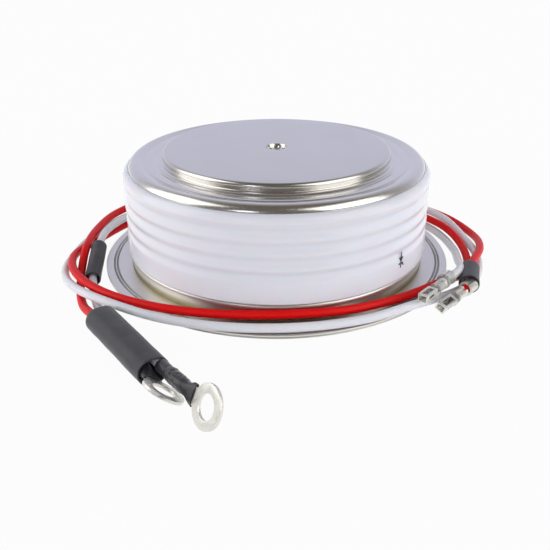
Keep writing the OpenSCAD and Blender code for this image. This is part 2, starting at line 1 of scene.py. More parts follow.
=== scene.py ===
import bpy
import json
from functools import partial
from math import asin, atan2, cos, exp, pi, radians, sin, tan
from mathutils import Matrix, Vector, noise
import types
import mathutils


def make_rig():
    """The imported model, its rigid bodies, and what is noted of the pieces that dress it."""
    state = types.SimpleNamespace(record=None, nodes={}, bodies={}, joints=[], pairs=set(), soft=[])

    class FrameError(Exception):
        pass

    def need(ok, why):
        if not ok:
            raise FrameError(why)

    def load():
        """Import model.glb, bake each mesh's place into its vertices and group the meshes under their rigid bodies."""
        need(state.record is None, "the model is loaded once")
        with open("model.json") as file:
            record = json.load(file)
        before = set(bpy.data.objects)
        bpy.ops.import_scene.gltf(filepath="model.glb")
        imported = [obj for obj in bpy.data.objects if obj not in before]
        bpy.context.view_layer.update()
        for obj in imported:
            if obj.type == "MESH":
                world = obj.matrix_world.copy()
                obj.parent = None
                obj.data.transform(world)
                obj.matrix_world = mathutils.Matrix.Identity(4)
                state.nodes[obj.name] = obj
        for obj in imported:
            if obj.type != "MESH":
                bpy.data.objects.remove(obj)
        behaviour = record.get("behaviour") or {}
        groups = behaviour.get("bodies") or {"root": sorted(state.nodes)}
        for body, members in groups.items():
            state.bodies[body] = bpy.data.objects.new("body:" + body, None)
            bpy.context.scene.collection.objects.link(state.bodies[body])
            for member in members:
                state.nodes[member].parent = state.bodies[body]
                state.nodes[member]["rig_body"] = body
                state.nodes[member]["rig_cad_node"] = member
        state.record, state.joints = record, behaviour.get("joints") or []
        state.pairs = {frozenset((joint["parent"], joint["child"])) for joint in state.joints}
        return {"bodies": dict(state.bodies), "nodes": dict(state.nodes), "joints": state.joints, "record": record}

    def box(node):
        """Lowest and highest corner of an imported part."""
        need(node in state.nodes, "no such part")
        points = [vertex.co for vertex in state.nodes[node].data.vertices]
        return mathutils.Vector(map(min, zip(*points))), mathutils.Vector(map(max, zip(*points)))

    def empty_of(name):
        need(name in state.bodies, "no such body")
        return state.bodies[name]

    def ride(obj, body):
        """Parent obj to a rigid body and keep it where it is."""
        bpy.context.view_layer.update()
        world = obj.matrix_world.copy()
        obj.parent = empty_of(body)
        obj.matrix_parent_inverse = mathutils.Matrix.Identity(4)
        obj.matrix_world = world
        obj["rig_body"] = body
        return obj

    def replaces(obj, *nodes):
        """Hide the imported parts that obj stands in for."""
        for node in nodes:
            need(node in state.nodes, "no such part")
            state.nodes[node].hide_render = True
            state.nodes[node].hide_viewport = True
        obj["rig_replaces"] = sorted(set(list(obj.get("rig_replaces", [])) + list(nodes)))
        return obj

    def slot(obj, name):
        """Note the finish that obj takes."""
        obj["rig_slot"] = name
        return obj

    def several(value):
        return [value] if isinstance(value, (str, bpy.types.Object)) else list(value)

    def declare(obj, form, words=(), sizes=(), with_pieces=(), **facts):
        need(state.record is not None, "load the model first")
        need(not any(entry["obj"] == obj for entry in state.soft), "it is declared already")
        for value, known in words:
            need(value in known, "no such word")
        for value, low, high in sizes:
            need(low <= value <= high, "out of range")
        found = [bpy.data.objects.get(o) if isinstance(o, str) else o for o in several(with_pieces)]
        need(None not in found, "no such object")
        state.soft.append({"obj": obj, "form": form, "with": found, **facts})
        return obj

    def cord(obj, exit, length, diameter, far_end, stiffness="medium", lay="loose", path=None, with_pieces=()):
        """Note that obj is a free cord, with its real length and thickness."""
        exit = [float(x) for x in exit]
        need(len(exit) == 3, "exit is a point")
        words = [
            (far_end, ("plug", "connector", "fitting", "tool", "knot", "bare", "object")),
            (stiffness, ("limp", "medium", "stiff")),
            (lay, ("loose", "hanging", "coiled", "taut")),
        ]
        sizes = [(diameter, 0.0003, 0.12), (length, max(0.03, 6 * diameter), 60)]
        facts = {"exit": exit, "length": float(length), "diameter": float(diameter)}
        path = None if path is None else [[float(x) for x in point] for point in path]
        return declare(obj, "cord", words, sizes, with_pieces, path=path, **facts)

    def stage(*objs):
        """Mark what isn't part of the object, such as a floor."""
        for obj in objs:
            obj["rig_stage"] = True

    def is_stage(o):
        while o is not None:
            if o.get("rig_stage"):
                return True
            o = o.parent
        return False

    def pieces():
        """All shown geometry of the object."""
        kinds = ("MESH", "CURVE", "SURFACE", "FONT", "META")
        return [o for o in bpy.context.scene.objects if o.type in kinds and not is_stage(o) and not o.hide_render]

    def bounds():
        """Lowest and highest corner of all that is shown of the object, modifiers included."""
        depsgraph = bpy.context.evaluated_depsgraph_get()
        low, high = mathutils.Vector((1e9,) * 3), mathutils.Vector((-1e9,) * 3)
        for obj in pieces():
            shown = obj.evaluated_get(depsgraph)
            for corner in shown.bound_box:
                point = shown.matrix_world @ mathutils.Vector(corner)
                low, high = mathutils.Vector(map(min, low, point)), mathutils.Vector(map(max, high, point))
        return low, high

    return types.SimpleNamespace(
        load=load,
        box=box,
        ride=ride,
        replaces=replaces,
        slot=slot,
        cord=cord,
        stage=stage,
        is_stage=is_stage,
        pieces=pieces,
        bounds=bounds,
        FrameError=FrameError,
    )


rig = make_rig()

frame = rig.load()
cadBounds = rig.bounds()
print("frame loaded:", len(frame["nodes"]), "nodes")

mm = 0.001  # pieces are modelled in millimetres and brought to metres when they are placed

# Camera

camera = {
    "place": (0, -147.62, 69.21),
    "tilt": 63.74,
    "lens": 47.96,
    "shift": -0.0029,  # the disc stands a little right of the picture's middle
}


def addCamera(view):
    place = [value * mm for value in view["place"]]
    bpy.ops.object.camera_add(location=place, rotation=(radians(view["tilt"]), 0, 0))
    seen = bpy.context.object
    seen.data.lens = view["lens"]
    seen.data.shift_x = view["shift"]
    seen.data.clip_start = 0.005
    bpy.context.scene.camera = seen


addCamera(camera)

# Modelling helpers

meshing = {
    "tubeMerge": 0.0005,
    "spinMerge": 0.002,
    "spinSteps": 288,
    "legShare": 0.49,  # a rounded corner takes less than half of the shorter leg
    "past": 1,  # a cutter runs this far past what it cuts
}


def selectOnly(obj):
    bpy.ops.object.select_all(action="DESELECT")
    obj.select_set(True)
    bpy.context.view_layer.objects.active = obj


def openMesh():
    bpy.ops.object.mode_set(mode="EDIT")
    bpy.ops.mesh.select_all(action="SELECT")


def closeMesh():
    # the faces are turned outwards first
    bpy.ops.mesh.select_all(action="SELECT")
    bpy.ops.mesh.normals_make_consistent(inside=False)
    bpy.ops.object.mode_set(mode="OBJECT")


def mendMesh(merge):
    # doubles are merged and loose bits go
    openMesh()
    bpy.ops.mesh.remove_doubles(threshold=merge)
    bpy.ops.mesh.delete_loose(use_verts=True, use_edges=True, use_faces=False)
    closeMesh()


def rollSheet(around, along, pointAt):
    # a grid rolled into a tube: u runs round it and v along it, and both stay in its UV map
    bpy.ops.object.select_all(action="DESELECT")
    bpy.ops.mesh.primitive_grid_add(x_subdivisions=around, y_subdivisions=along, size=1)
    tube = bpy.context.object
    for corner in tube.data.vertices:
        corner.co = pointAt(corner.co.x + 0.5, corner.co.y + 0.5)
    mendMesh(meshing["tubeMerge"])
    return tube


def closeEnds(tube):
    selectOnly(tube)
    openMesh()
    bpy.ops.mesh.select_all(action="DESELECT")
    bpy.ops.mesh.select_mode(type="VERT")
    bpy.ops.mesh.select_non_manifold()
    bpy.ops.mesh.edge_face_add()
    closeMesh()


def roundedLine(line, radius, steps=6):
    # each inner corner becomes an arc, cut short where the legs are
    points = [Vector(line[0])]
    for before, here, after in zip(line, line[1:], line[2:]):
        corner = Vector(here)
        toBefore, toAfter = Vector(before) - corner, Vector(after) - corner
        legs = min(toBefore.length, toAfter.length)
        toBefore.normalize()
        toAfter.normalize()
        opening = toBefore.angle(toAfter)
        reach = min(radius / tan(opening / 2), meshing["legShare"] * legs)
        centre = corner + (toBefore + toAfter).normalized() * reach / cos(opening / 2)
        first, last = corner + toBefore * reach - centre, corner + toAfter * reach - centre
        turn = pi - opening
        for step in range(steps + 1):
            share = step / steps
            points.append(centre + (first * sin(turn * (1 - share)) + last * sin(turn * share))
                          / sin(turn))
    return points + [Vector(line[-1])]


def sheetSides(line, thickness):
    # both faces of a bent sheet whose middle follows the line, the left one first
    left, right = [], []
    for i, point in enumerate(line):
        heading = Vector((0, 0))
        if i:
            heading += (point - line[i - 1]).normalized()
        if i < len(line) - 1:
            heading += (line[i + 1] - point).normalized()
        heading.normalize()
        side = Vector((-heading.y, heading.x)) * thickness / 2
        left.append(point + side)
        right.append(point - side)
    return left, right[::-1]


def spinOutline(outline, steps=meshing["spinSteps"]):
    # a circle's points are moved onto the closed section, which is spun about the upright axis
    bpy.ops.object.select_all(action="DESELECT")
    bpy.ops.mesh.primitive_circle_add(vertices=len(outline), fill_type="NOTHING")
    turned = bpy.context.object
    for corner, (r, z) in zip(turned.data.vertices, outline):
        corner.co = (r, 0, z)
    openMesh()
    bpy.ops.mesh.spin(steps=steps, angle=2 * pi, center=(0, 0, 0), axis=(0, 0, 1))
    mendMesh(meshing["spinMerge"])
    return turned


def applyModifier(obj, kind, **settings):
    selectOnly(obj)
    modifier = obj.modifiers.new(kind.title(), kind)
    for name, value in settings.items():
        setattr(modifier, name, value)
    bpy.ops.object.modifier_apply(modifier=modifier.name)


def bevelEdges(obj, width, angle, segments=2):
    applyModifier(obj, "BEVEL", width=width, segments=segments, limit_method="ANGLE",
                  angle_limit=radians(angle))


def cutWith(obj, tool):
    applyModifier(obj, "BOOLEAN", operation="DIFFERENCE", object=tool, solver="EXACT")
    bpy.data.objects.remove(tool)


def addBlock(low, high):
    low, high = Vector(low), Vector(high)
    bpy.ops.mesh.primitive_cube_add(size=1, location=(low + high) / 2)
    block = bpy.context.object
    block.scale = high - low
    bpy.ops.object.transform_apply()
    return block


def addRod(diameter, start, end, sides=48, y=0, z=0):
    # a rod along the local X axis
    bpy.ops.mesh.primitive_cylinder_add(vertices=sides, radius=diameter / 2, depth=end - start,
                                        location=((start + end) / 2, y, z), rotation=(0, pi / 2, 0))
    bpy.ops.object.transform_apply()
    return bpy.context.object


def joinPieces(pieces):
    bpy.ops.object.select_all(action="DESELECT")
    for piece in pieces:
        piece.select_set(True)
    bpy.context.view_layer.objects.active = pieces[0]
    bpy.ops.object.join()
    return bpy.context.object


def lineFrame(start, end, roll=0):
    # puts a piece's X axis on the line from start to end, with its zero at the end
    start, end = Vector(start), Vector(end)
    run = end - start
    return (Matrix.Translation(end)
            @ Matrix.Rotation(atan2(run.y, run.x), 4, "Z")
            @ Matrix.Rotation(-asin(run.z / run.length), 4, "Y")
            @ Matrix.Rotation(radians(roll), 4, "X"))


def placePiece(piece, name, finish, slot, nodes=(), place=Matrix(), smooth=40):
    piece.name = piece.data.name = name
    piece.matrix_world = Matrix.Scale(mm, 4) @ place @ piece.matrix_world
    selectOnly(piece)
    bpy.ops.object.transform_apply()
    bpy.ops.object.shade_smooth_by_angle(angle=radians(smooth))
    piece.data.materials.clear()
    piece.data.materials.append(finishes[finish])
    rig.ride(piece, "root")
    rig.slot(piece, slot)
    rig.replaces(piece, *nodes)
    return piece


# Material helpers


def hexColour(code):
    shares = [int(code[i:i + 2], 16) / 255 for i in (1, 3, 5)]
    return [c / 12.92 if c <= 0.04045 else ((c + 0.055) / 1.055) ** 2.4 for c in shares] + [1]


def addNode(tree, kind, inputs=None, stops=(), **settings):
    # an input is a value, a socket, or a node, of which the first live output is linked
    node = tree.nodes.new("ShaderNode" + kind)
    for name, value in settings.items():
        setattr(node, name, value)
    for place, colour in stops:
        known = node.color_ramp.elements
        stop = known[0] if place == 0 else known[-1] if place == 1 else known.new(place)
        stop.color = hexColour(colour)
    for socket, value in (inputs or {}).items():
        if isinstance(value, bpy.types.Node):
            value = [output for output in value.outputs if output.enabled][0]
        if isinstance(value, bpy.types.NodeSocket):
            tree.links.new(value, node.inputs[socket])
        else:
            node.inputs[socket].default_value = value
    return node


def startMaterial(name):
    # an empty material, what adds its nodes, and the place on the piece that its patterns follow
    material = bpy.data.materials.new(name)
    material.use_nodes = True
    material.node_tree.nodes.clear()
    add = partial(addNode, material.node_tree)
    return material, add, add("TexCoord").outputs["Object"]


def addTint(add, place, scale, detail, dark, light):
    # a noise, and the colour that it gives between two close shades
    cloud = add("TexNoise", {"Vector": place, "Scale": scale, "Detail": detail})
    return cloud, add("ValToRGB", {"Fac": cloud}, [(0, dark), (1, light)])


def endMaterial(material, sockets):
    # the main shader, with a value, a socket or a node for each of the sockets that are named
    main = addNode(material.node_tree, "BsdfPrincipled", sockets)
    addNode(material.node_tree, "OutputMaterial", {"Surface": main})
    return material


# Finishes

midTones = {"From Min": 0.3, "From Max": 0.7}  # a noise seldom leaves this range


def makeFacedNickel():
    # Nickel-plated copper, faced on a lathe and matt-plated: satin, with faint turning rings.
    # The true feed of 0.1 mm doesn't show at this size, so the rings are drawn 0.45 mm apart.
    material, add, place = startMaterial("facedNickel")
    rings = add("TexWave", {"Vector": place, "Scale": 700, "Distortion": 0.6, "Detail": 2,
                            "Detail Scale": 3}, wave_type="RINGS", rings_direction="Z")
    tint = addTint(add, place, 90, 3, "#CDCBC7", "#D7D5D1")[1]
    grain = add("TexNoise", {"Vector": place, "Scale": 9000, "Detail": 2})
    rough = add("MapRange", {"Value": grain, **midTones, "To Min": 0.2, "To Max": 0.24})
    turned = add("Bump", {"Height": rings.outputs["Fac"], "Strength": 0.02, "Distance": 0.01 * mm})
    plated = add("Bump", {"Height": grain, "Strength": 0.03, "Distance": 0.01 * mm, "Normal": turned})
    return endMaterial(material, {"Metallic": 1, "Base Color": tint, "Roughness": rough,
                                  "Normal": plated})


formedNickel = {
    "heatTint": "#A29A7E",
    "tintEdge": 0.2,  # mm over which the tint fades
    "weldTint": "#777375",
    "weldCore": 0.05,  # mm from a groove's middle that are dark, and where the sheet is clean again
    "weldEdge": 0.16,
}


def makeFormedNickel(name, smoothest, dullest, seatRadius=0, weldRadii=()):
    # Nickel-plated sheet, deep-drawn and annealed: a cool satin with soft drawing marks round the
    # axis and a few hairline scratches. Brazing has tinted it olive up to the seat's radius, and
    # the weld grooves are darker at their bottom. The radii are in millimetres.
    look, fading = formedNickel, {"To Min": 1, "To Max": 0}
    material, add, place = startMaterial(name)
    tint = addTint(add, place, 140, 4, "#D6D4D0", "#E0DEDA")[1]
    flat = add("VectorMath", {0: place, 1: (1, 1, 0)}, operation="MULTIPLY")
    reach = add("VectorMath", {0: flat}, operation="LENGTH")
    heated = add("MapRange", {"Value": reach, "From Min": (seatRadius - look["tintEdge"]) * mm,
                              "From Max": seatRadius * mm, **fading})
    colour = add("Mix", {0: heated, 6: tint, 7: hexColour(look["heatTint"])}, data_type="RGBA")
    for radius in weldRadii:
        away = add("Math", {0: reach, 1: radius * mm}, operation="SUBTRACT")
        off = add("Math", {0: away}, operation="ABSOLUTE")
        line = add("MapRange", {"Value": off, "From Min": look["weldCore"] * mm,
                                "From Max": look["weldEdge"] * mm, **fading})
        colour = add("Mix", {0: line, 6: colour, 7: hexColour(look["weldTint"])}, data_type="RGBA")
    marks = add("TexWave", {"Vector": place, "Scale": 420, "Distortion": 2.5, "Detail": 3,
                            "Detail Scale": 2}, wave_type="RINGS", rings_direction="Z")
    hairs = add("TexNoise", {"Vector": place, "Scale": 2600, "Detail": 2})
    rough = add("MapRange", {"Value": hairs, **midTones, "To Min": smoothest, "To Max": dullest})
    drawn = add("Bump", {"Height": marks.outputs["Fac"], "Strength": 0.03, "Distance": 0.01 * mm})
    return endMaterial(material, {"Metallic": 1, "Base Color": colour, "Roughness": rough,
                                  "Normal": drawn})


def makeGlazedCeramic():
    # Glazed alumina, white with a cool cast: a hard gloss over a faintly milky body.
    material, add, place = startMaterial("glazedAlumina")
    tint = addTint(add, place, 60, 3, "#DADADF", "#E1E1E6")[1]
    glaze = add("TexNoise", {"Vector": place, "Scale": 420, "Detail": 2})
    wavy = add("Bump", {"Height": glaze, "Strength": 0.12, "Distance": 0.1 * mm})
    return endMaterial(material, {"Roughness": 0.11, "IOR": 1.45, "Subsurface Weight": 0.3,
                                  "Subsurface Scale": 2 * mm, "Base Color": tint, "Normal": wavy})


def makeInsulation(name, dark, light, roughness, shine):
    # Extruded silicone-like insulation: soft gloss, fine die lines along the lead.
    material, add, place = startMaterial(name)
    along = add("TexCoord").outputs["UV"]
    stretched = add("Mapping", {"Vector": along, "Scale": (14, 9, 1)})
    lines = add("TexNoise", {"Vector": stretched, "Scale": 2, "Detail": 4})
    tint = addTint(add, place, 110, 2, dark, light)[1]
    skin = add("Bump", {"Height": lines, "Strength": 0.15, "Distance": 0.04 * mm})
    return endMaterial(material, {"Roughness": roughness, "IOR": 1.42, "Specular IOR Level": shine,
                                  "Subsurface Weight": 0.1, "Subsurface Scale": 0.6 * mm,
                                  "Base Color": tint, "Normal": skin})


def makeShrunkSleeve(name, smoothest, dullest):
    # Heat-shrunk polyolefin: charcoal, matt with a grey bloom and soft ripples along its length;
    # the thin ones on the ring terminals are glossier.
    material, add, place = startMaterial(name)
    bloom, tint = addTint(add, place, 260, 4, "#1D1D21", "#28292E")
    rough = add("MapRange", {"Value": bloom, **midTones, "To Min": smoothest, "To Max": dullest})
    grain = add("TexNoise", {"Vector": place, "Scale": 3500, "Detail": 3})
    skin = add("Bump", {"Height": grain, "Strength": 0.2, "Distance": 0.03 * mm})
    return endMaterial(material, {"IOR": 1.5, "Sheen Weight": 0.15, "Sheen Roughness": 0.5,
                                  "Base Color": tint, "Roughness": rough, "Normal": skin})


def makeTinPlate():
    # Tin-plated copper sheet, stamped and folded: bright, white, a little cloudy.
    material, add, place = startMaterial("tinnedSheet")
    cloud, tint = addTint(add, place, 700, 3, "#D5D4CE", "#EAEAE4")
    rough = add("MapRange", {"Value": cloud, **midTones, "To Min": 0.34, "To Max": 0.5})
    skin = add("Bump", {"Height": cloud, "Strength": 0.1, "Distance": 0.03 * mm})
    return endMaterial(material, {"Metallic": 1, "Base Color": tint, "Roughness": rough,
                                  "Normal": skin})


def makeSpeckled(name, dark, light, grainScale, sockets):
    # a plain engineering surface whose colour varies a little with its grain
    material, add, place = startMaterial(name)
    grain, tint = addTint(add, place, grainScale, 3, dark, light)
    skin = add("Bump", {"Height": grain, "Strength": 0.1, "Distance": 0.03 * mm})
    return endMaterial(material, {**sockets, "Base Color": tint, "Normal": skin})


finishes = {
    "facedNickel": makeFacedNickel(),
    "upperNickel": makeFormedNickel("formedNickelBright", 0.2, 0.26),
    "lowerNickel": makeFormedNickel("formedNickelDull", 0.34, 0.42, 31.4, (34.45, 35.05)),
    "plainNickel": makeFormedNickel("formedNickelPlain", 0.34, 0.42),
    "ceramic": makeGlazedCeramic(),
    "whiteInsulation": makeInsulation("whiteInsulation", "#DADBDE", "#E6E7EA", 0.38, 0.35),
    "redInsulation": makeInsulation("redInsulation", "#D80406", "#E00608", 0.42, 0.18),
    "sleeve": makeShrunkSleeve("shrunkPolyolefin", 0.42, 0.58),
    "thinSleeve": makeShrunkSleeve("thinPolyolefin", 0.2, 0.36),
    "tin": makeTinPlate(),
    # Electroplated gold over nickel on the pins and the gate contact: warm and smooth.
    "gold": makeSpeckled("platedGold", "#C9A04E", "#D9B566", 2500, {"Metallic": 1, "Roughness": 0.25}),
    # Silver-copper braze: pale, slightly rough fillets.
    "braze": makeSpeckled("silverBraze", "#B9B4AA", "#CFCBC2", 1800, {"Metallic": 1, "Roughness": 0.4}),
    # Printed ceramic ink: dense, dull grey-black.
    "ink": makeSpeckled("firedInk", "#2C2C2E", "#3A3A3C", 4000, {"Roughness": 0.6}),
    # Polished silicon: dark, cold, mirror-like.
    "silicon": makeSpeckled("polishedSilicon", "#4A4E57", "#585D66", 300,
                            {"Metallic": 0.6, "Roughness": 0.12}),
    # Ground molybdenum: grey and finely scratched.
    "molybdenum": makeSpeckled("groundMolybdenum", "#85868A", "#97989C", 2200,
                               {"Metallic": 1, "Roughness": 0.42}),
    # Cast silicone rubber on the wafer's edge: white and waxy.
    "edgeRubber": makeSpeckled("castSilicone", "#D6D4CC", "#E2E0D9", 500,
                               {"Roughness": 0.5, "Subsurface Weight": 0.2, "Subsurface Scale": 1 * mm}),
    # Moulded fluoroplastic: ivory, soft gloss.
    "ivory": makeSpeckled("mouldedIvory", "#DDD8C4", "#E8E4D3", 600, {"Roughness": 0.42}),
    # Drawn stainless spring wire.
    "springWire": makeSpeckled("drawnWire", "#A9A8A5", "#BDBCB9", 3000,
                               {"Metallic": 1, "Roughness": 0.3}),
}
print("finishes made:", len(finishes))

# Leads

lead = {"diameter": 1.7, "sides": 20, "ring": 0.5}
gateRoute = [
    (32, -21.4, 5.4), (36.8, -15, 5), (39, -4.6, 2.4), (40, 5, 0.9), (37.6, 15.6, 0.9),
    (30.8, 25.2, 0.9), (20.8, 32.8, 0.9), (9, 38, 0.9), (-3.8, 41, 0.9), (-16.5, 40.2, 0.9),
    (-28, 34.4, 0.9), (-36.8, 25.4, 0.9), (-42.4, 14, 0.9), (-45, 2, 0.9), (-44.8, -8, 1.1),
    (-39.9, -18.6, 2.8), (-31.6, -26.6, 3.8), (-21, -32.4, 3.7), (-9, -35.4, 3.6), (3.5, -35.6, 3.6),
    (15.5, -32.8, 3.6), (26.4, -26.8, 3.6), (34.8, -19.2, 1.9), (41.4, -11, 0.9), (44.4, -1, 0.9),
    (43.6, 9, 1.5), (40.4, 19, 2.7), (33.6, 28.4, 2.7), (23.8, 36, 2.7), (12, 40, 2.7), (-1, 39.6, 2.7),
    (-13.5, 36.8, 2.7), (-25, 30.9, 2.7), (-34.2, 22.6, 2.7), (-39.2, 11.6, 3), (-39.2, 1.4, 3.6),
    (-37.9, -12.5, 1.6), (-34.2, -24.2, 1.2), (-31.4, -29.7, 2.7), (-16.7, -50.1, 3.4),
]
cathodeRoute = [
    (36.5, -21, 3.5), (38.8, -17.8, 3.8), (40.9, -9.4, 3.8), (45, 0.6, 2.8), (46.4, 11.6, 1.1),
    (41.8, 24.6, 0.9), (31.6, 35, 0.9), (19.2, 40.8, 1.2), (6, 43, 2.7), (-7, 41.4, 2.8),
    (-18.5, 36.9, 2), (-28.8, 29.4, 0.9), (-36.6, 19.2, 0.9), (-41.2, 8.4, 1.4), (-43.8, -3, 2.7),
    (-41, -13.4, 3.6), (-33.6, -22.4, 3.9), (-23.4, -28.2, 3.9), (-11.6, -31.2, 3.95), (1, -32.3, 4.4),
    (13.1, -30.2, 4.2), (24, -24.2, 3.6), (33.5, -16.9, 3.5), (40.6, -7, 0.9), (42, 3.8, 1.6),
    (39.8, 12.4, 2.7), (34.2, 21.4, 2.8), (26, 30.8, 2.4), (15.6, 38.6, 0.9), (3, 42.9, 0.9),
    (-10, 43.9, 0.9), (-22.5, 40.5, 0.9), (-33, 32.8, 2.1), (-39.4, 22.4, 2.7), (-41.6, 10.6, 3.4),
    (-41.5, -1.6, 3.8), (-40.8, -10.6, 1.2), (-37.8, -22, 0.9), (-33.1, -30.5, 2.6),
    (-23.8, -44.2, 2.5),
]


def smoothLine(points, spacing, floorZ):
    # one smooth curve through the points, with its own points about as far apart as spacing
    points = [Vector(p) for p in points]
    points = [2 * points[0] - points[1]] + points + [2 * points[-1] - points[-2]]
    line = []
    for a, b, c, d in zip(points, points[1:], points[2:], points[3:]):
        t1 = (b - a).length ** 0.5
        t2 = t1 + (c - b).length ** 0.5
        t3 = t2 + (d - c).length ** 0.5
        count = max(2, round((c - b).length / spacing))
        for step in range(count):
            t = t1 + (t2 - t1) * step / count
            ab = a + (b - a) * t / t1
            bc = b + (c - b) * (t - t1) / (t2 - t1)
            cd = c + (d - c) * (t - t2) / (t3 - t2)
            abc = ab + (bc - ab) * t / t2
            bcd = bc + (cd - bc) * (t - t1) / (t3 - t1)
            line.append(abc + (bcd - abc) * (t - t1) / (t2 - t1))
    line.append(points[-2])
    for point in line:
        point.z = max(point.z, floorZ)
    return line


def tubeAlong(line, diameter, sides):
    # a round tube whose rings stand square to the line
    rings = []
    for i, point in enumerate(line):
        heading = (line[min(i + 1, len(line) - 1)] - line[max(i - 1, 0)]).normalized()
        across = heading.cross(Vector((0, 0, 1))).normalized()
        rings.append((point, across, across.cross(heading)))
    last = len(line) - 1

    def pointAt(u, v):
        point, across, up = rings[round(v * last)]
        turn = 2 * pi * u
        return point + (across * cos(turn) + up * sin(turn)) * diameter / 2

    return rollSheet(sides, last, pointAt)


def addLead(name, route, node, finish, slot):
    line = smoothLine(route, lead["ring"], lead["diameter"] / 2)
    tube = tubeAlong(line, lead["diameter"], lead["sides"])
    closeEnds(tube)
    placePiece(tube, name, finish, slot, [node])
    length = sum((b - a).length for a, b in zip(line, line[1:]))
    print(name, "is", round(length, 1), "mm long")
    return tube, [point * mm for point in line], length * mm


gateLead, gateLine, gateLength = addLead("gateLead", gateRoute, "gate_lead",
                                         "whiteInsulation", "white_insulation")
cathodeLead, cathodeLine, cathodeLength = addLead("cathodeLead", cathodeRoute, "cathode_lead",
                                                  "redInsulation", "red_insulation")

# Housing, turned and formed round the upright axis


def topOf(node):
    return round(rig.box(node)[1].z / mm, 3)


def bottomOf(node):
    return round(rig.box(node)[0].z / mm, 3)


def radiusOf(node):
    return round(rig.box(node)[1].x / mm, 2)


def stepsFrom(r, z, steps):
    # a section's points, given as steps out and up from one place
    return [(r + out, z + up) for out, up in steps]


def arcPoints(r, z, radius, first, last, facets):
    # points of an arc round (r, z), by their angle above the level in degrees
    turns = [radians(first + (last - first) * step / facets) for step in range(facets + 1)]
    return [(r + radius * cos(turn), z + radius * sin(turn)) for turn in turns]


poles = {
    "radius": radiusOf("cathode_pole"),
    "edge": 0.8,
    "edgeFrom": 4,  # how far in from the side the outline of the edges starts
    "holeRadius": 1.8,
    "holeDepth": 2.1,
    "holeChamfer": 0.45,
    "gateBoreRadius": 4.0,
    "gateBoreDepth": 7.0,
    "gateAngle": 111,
    "slotWidth": 2.5,
    "slotTop": 16.95,
}


def polePiece(faceZ, innerZ, bore):
    # the section runs from the axis at the inner end to the locating hole in the face
    up = 1 if faceZ > innerZ else -1
    radius, inside = poles["radius"], poles["radius"] - poles["edgeFrom"]
    hole, chamfer = poles["holeRadius"], poles["holeChamfer"]
    floorZ = faceZ - up * poles["holeDepth"]
    inner = [(0, innerZ)]
    if bore:
        ceiling = innerZ + up * poles["gateBoreDepth"]
        inner = [(0, ceiling), (poles["gateBoreRadius"], ceiling), (poles["gateBoreRadius"], innerZ)]
    outside = roundedLine([(inside, innerZ), (radius, innerZ), (radius, faceZ), (inside, faceZ)],
                          poles["edge"], 8)
    # the hole's mouth flares in two steps, and its floor meets the wall in a small fillet
    mouth = [(hole + chamfer, faceZ), (hole + chamfer * 0.6, faceZ - up * chamfer * 0.5),
             (hole, faceZ - up * chamfer * 2), (hole, floorZ + up * 0.05), (hole - 0.05, floorZ),
             (0, floorZ)]
    return spinOutline(inner + outside + mouth)


def makePoles():
    faceZ, innerZ = topOf("cathode_pole"), bottomOf("cathode_pole")
    upper = polePiece(faceZ, innerZ, True)
    half, past = poles["slotWidth"] / 2, meshing["past"]
    slot = addBlock((0, -half, innerZ - past), (poles["radius"] + past, half, poles["slotTop"]))
    slot.rotation_euler.z = radians(poles["gateAngle"])
    bpy.context.view_layer.update()
    cutWith(upper, slot)
    placePiece(upper, "cathodePole", "facedNickel", "nickel_plate", ["cathode_pole"])
    lower = polePiece(bottomOf("anode_pole"), topOf("anode_pole"), False)
    placePiece(lower, "anodePole", "facedNickel", "nickel_plate", ["anode_pole"])


ring = {
    "radius": radiusOf("ceramic_ring"),
    "bore": 28.0,
    "low": bottomOf("ceramic_ring") - 1.0,  # the glaze runs down over the brazed foot
    "high": topOf("ceramic_ring"),
    "foot": 0.35,
    "shoulder": 1.9,
    "shoulderOut": 0.1,
    "waves": 4,
    "waveFacets": 16,
    "firstWave": 11.35,
    "pitch": 2.8,
    "depth": 0.32,
}
terminals = {
    "angles": (111, 69),
    "height": 15.7,
    "tube": 3.0,
    "tubeInside": 0.8,
    "tubeOut": 1.8,
    "wall": 0.5,
    "neck": 0.8,
    "chamfer": 0.35,
    "tubeBend": 0.15,
    "pin": 1.47,
    "pinBend": 0.12,
    "pinRoot": 2.4,
    "pinPoint": 0.5,
    "shank": 1.07,
    "free": 5.5,
    "tight": 0.02,
    "fillet": [(-0.02, -0.15), (0.45, -0.15), (0.3, 0.04), (0.1, 0.14), (-0.02, 0.4)],
}


def makeCeramicRing():
    low, high, radius, bore = ring["low"], ring["high"], ring["radius"], ring["bore"]
    foot, shoulder, pitch, facets = ring["foot"], ring["shoulder"], ring["pitch"], ring["waveFacets"]
    start = ring["firstWave"] - pitch / 2
    outline = [(bore, low)] + arcPoints(radius - foot, low + foot, foot, -90, 0, 6)
    for step in range(ring["waves"] * facets + 1):
        share = step / facets
        dip = ring["depth"] * (1 - cos(2 * pi * share)) / 2
        outline.append((radius - dip, start + pitch * share))
    outline += arcPoints(radius + ring["shoulderOut"] - shoulder, high - shoulder, shoulder, 0, 90, 12)
    piece = spinOutline(outline + [(bore, high)])
    for angle in terminals["angles"]:
        hole = addRod(terminals["tube"] - terminals["tight"], bore - meshing["past"],
                      radius + meshing["past"])
        hole.rotation_euler.z = radians(angle)
        hole.location.z = terminals["height"]
        bpy.context.view_layer.update()
        cutWith(piece, hole)
    placePiece(piece, "ceramicRing", "ceramic", "glazed_ceramic", ["ceramic_ring"])


